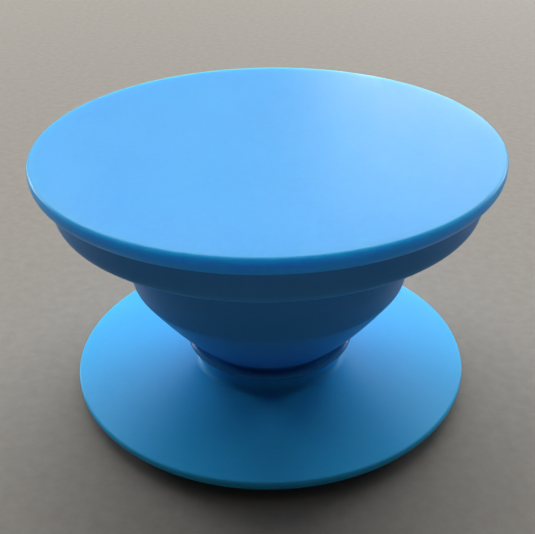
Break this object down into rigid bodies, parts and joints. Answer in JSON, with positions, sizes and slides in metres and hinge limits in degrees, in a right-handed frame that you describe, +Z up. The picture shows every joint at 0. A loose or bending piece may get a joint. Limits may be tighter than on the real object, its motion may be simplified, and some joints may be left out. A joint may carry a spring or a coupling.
{
  "type": "collapsible phone grip",
  "caption": "Collapsible grip for the back of a phone: a round button on a stepped flexible neck that folds down onto a round adhesive base plate.",
  "frame": {"origin": "on the grip's axis, on the surface that it stands on", "axes": "+Z up along the grip's axis, from the base plate to the button; +X to the right of the picture's view, +Y away from it"},
  "size_m": [0.04, 0.04, 0.0238],
  "materials": {
    "button_plastic": "satin moulded plastic",
    "neck_elastomer": "smooth satin elastomer",
    "base_plastic": "satin moulded plastic",
    "inner_plastic": "as moulded",
    "adhesive_gel": "soft, tacky, milky",
    "liner_film": "smooth coated film"
  },
  "bodies": {
    "base": {"base_plate": "base_plastic", "adhesive_pad": "adhesive_gel", "release_liner": "liner_film"},
    "hub": {"hub_plug": "inner_plastic"},
    "neck": {"bellows": "neck_elastomer"},
    "head": {"top_disc": "button_plastic", "clamp_ring": "inner_plastic"}
  },
  "joints": [
    {"name": "hub_spin", "type": "hinge", "parent": "base", "child": "hub", "pos_m": [0, 0, 0.00212], "axis": [0, 0, 1], "continuous": true},
    {"name": "neck_tilt", "type": "hinge", "parent": "hub", "child": "neck", "pos_m": [0, 0, 0.005], "axis": [1, 0, 0], "range_deg": [0, 6.5], "stiffness_Nm_per_rad": 0.4, "deforming": ["bellows"]},
    {"name": "extend", "type": "slide", "parent": "neck", "child": "head", "axis": [0, 0, 1], "range_m": [-0.0168, 0], "deforming": ["bellows"]}
  ]
}
